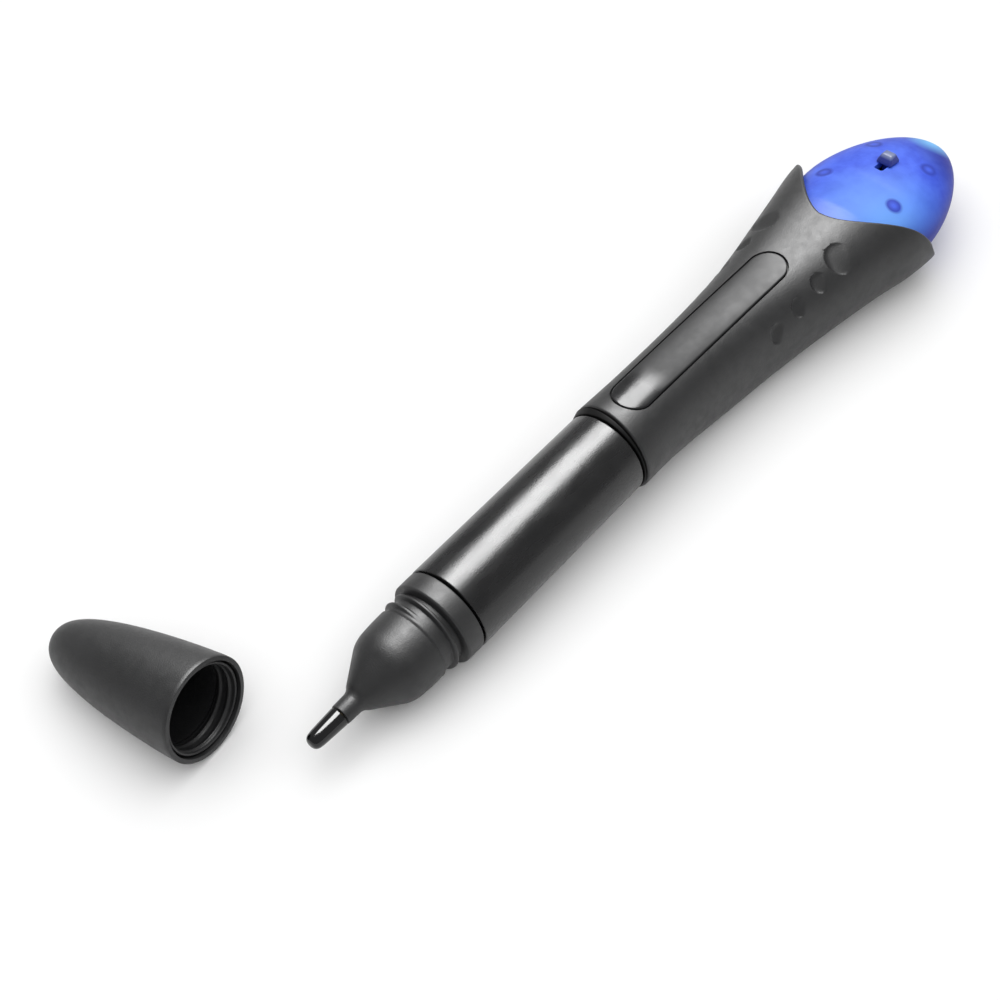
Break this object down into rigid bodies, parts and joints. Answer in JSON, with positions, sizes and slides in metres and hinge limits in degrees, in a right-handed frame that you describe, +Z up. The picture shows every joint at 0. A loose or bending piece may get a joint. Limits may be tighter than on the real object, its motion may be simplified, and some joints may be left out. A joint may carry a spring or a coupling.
{
  "type": "counterfeit detector pen",
  "caption": "Two-ended detector pen: a capped fluid marker cartridge in front of a waisted grip, with a blue ultraviolet lamp head and slide switch at the back.",
  "frame": {"origin": "middle of the bounding box of the pen and its cap, on the surface they lie on", "axes": "+X along the pen from the marker tip to the lamp head, +Y towards the side where the cap lies, +Z up"},
  "size_m": [0.1864, 0.0626, 0.0213],
  "materials": {
    "housing_plastic": "fine textured, dark grey",
    "gloss_black": "polished black",
    "pad_film": "satin dark grey film",
    "lens_blue": "frosted translucent blue",
    "seal_rubber": "matt black",
    "felt": "pressed fibre soaked with detector fluid",
    "steel": "nickel plated",
    "white_plastic": "moulded white",
    "board_green": "solder-masked board",
    "lamp_clear": "clear epoxy",
    "knob_grey": "light grey, blue-lit sides",
    "wire_red": "red insulation"
  },
  "bodies": {
    "grip": {"grip_housing": "housing_plastic", "grip_bush": "gloss_black", "label_pad": "pad_film", "battery_carrier": "white_plastic", "contact_spring": "steel", "button_cell_1": "steel", "button_cell_2": "steel", "button_cell_3": "steel"},
    "cartridge": {"nose_cone": "housing_plastic", "nose_seal_ring": "seal_rubber", "marker_barrel": "gloss_black", "fluid_reservoir": "felt", "barrel_end_plug": "housing_plastic", "felt_nib": "felt"},
    "nib_cover": {"tip_cover": "gloss_black"},
    "lamp": {"lamp_lens": "lens_blue", "lamp_frame": "white_plastic", "circuit_board": "board_green", "switch_body": "housing_plastic", "board_resistor": "gloss_black", "frame_screw_1": "steel", "frame_screw_2": "steel", "frame_screw_3": "steel", "frame_screw_4": "steel", "uv_led": "lamp_clear", "led_lead_left": "steel", "led_lead_right": "steel", "battery_contact": "steel", "battery_wire_red": "wire_red", "battery_wire_black": "gloss_black"},
    "switch": {"switch_knob": "knob_grey"},
    "cap": {"cap_shell": "housing_plastic", "cap_thread_liner": "housing_plastic", "cap_seal": "seal_rubber"}
  },
  "joints": [
    {"name": "cartridge_pull", "type": "slide", "parent": "grip", "child": "cartridge", "axis": [-0.9988, 0, -0.0485], "range_m": [0, 0.017]},
    {"name": "tip_cover_pull", "type": "slide", "parent": "cartridge", "child": "nib_cover", "axis": [-0.9988, 0, -0.0485], "range_m": [0, 0.008]},
    {"name": "lamp_pull", "type": "slide", "parent": "grip", "child": "lamp", "axis": [0.9988, 0, 0.0485], "range_m": [0, 0.025]},
    {"name": "switch_slide", "type": "slide", "parent": "lamp", "child": "switch", "axis": [-0.9871, 0, 0.1602], "range_m": [0, 0.002]},
    {"name": "cap_pull", "type": "slide", "parent": "grip", "child": "cap", "axis": [-0.1219, 0.9925, 0], "range_m": [0, 0.035]}
  ]
}
